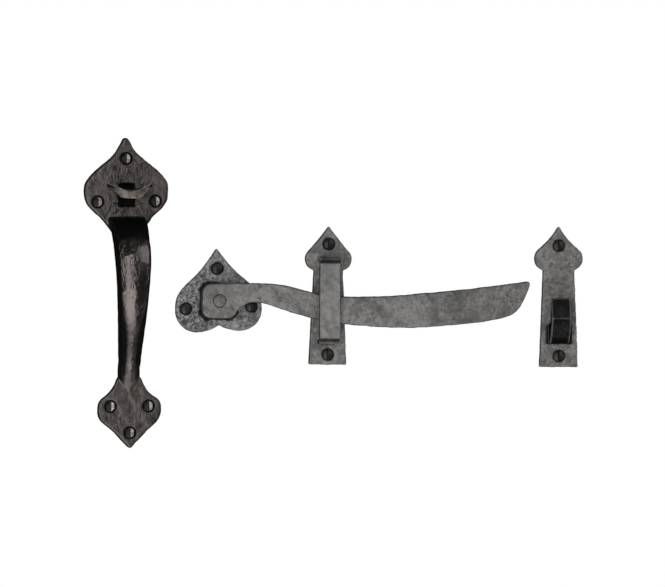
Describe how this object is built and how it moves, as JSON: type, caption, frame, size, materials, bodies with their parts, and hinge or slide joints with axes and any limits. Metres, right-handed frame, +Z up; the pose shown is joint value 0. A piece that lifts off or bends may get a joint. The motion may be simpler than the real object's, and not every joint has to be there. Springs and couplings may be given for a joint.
{
  "type": "gate latch set",
  "caption": "Rustic black iron thumb latch set for a gate: pull handle with thumb lever, latch bar on a heart-shaped plate, guide with staple, and catch hook.",
  "frame": {"origin": "the latch bar's pivot, on the back of the heart-shaped pivot plate (the gate's face)", "axes": "+X along the gate towards the catch, +Y into the gate, +Z up; the plates' backs lie in y = 0"},
  "size_m": [0.3574, 0.1252, 0.2195],
  "materials": {
    "handle_lacquer": "satin black lacquer over a smooth casting",
    "heart_finish": "satin black, lightly hammered casting",
    "plate_finish": "satin black, hammered casting with dark edges",
    "hammered_finish": "satin black over deep hammer marks",
    "strap_finish": "satin black over a smooth strap",
    "screw_finish": "black japanned steel",
    "bare_pin": "plain steel, dull"
  },
  "bodies": {
    "fittings": {"pull_handle": "handle_lacquer", "thumb_pin": "bare_pin", "pivot_plate": "heart_finish", "pivot_washer": "bare_pin", "pivot_rivet": "hammered_finish", "guide_plate": "plate_finish", "guide_staple": "strap_finish", "catch_plate": "plate_finish", "catch_hook": "strap_finish", "handle_screw_top": "screw_finish", "handle_screw_upper_left": "screw_finish", "handle_screw_upper_right": "screw_finish", "handle_screw_lower_left": "screw_finish", "handle_screw_lower_right": "screw_finish", "handle_screw_bottom": "screw_finish", "pivot_screw_top": "screw_finish", "pivot_screw_left": "screw_finish", "pivot_screw_right": "screw_finish", "guide_screw_top": "screw_finish", "guide_screw_bottom": "screw_finish", "catch_screw_top": "screw_finish", "catch_screw_bottom": "screw_finish"},
    "bar": {"latch_bar": "hammered_finish"},
    "lever": {"thumb_lever": "handle_lacquer"}
  },
  "joints": [
    {"name": "bar_lift", "type": "hinge", "parent": "fittings", "child": "bar", "pos_m": [0, -0.008, 0], "axis": [0, -1, 0], "range_deg": [0, 15]},
    {"name": "thumb_press", "type": "hinge", "parent": "fittings", "child": "lever", "pos_m": [-0.06581, -0.00131, 0.0792], "axis": [0.9999, 0, 0.014], "range_deg": [0, 15]}
  ]
}
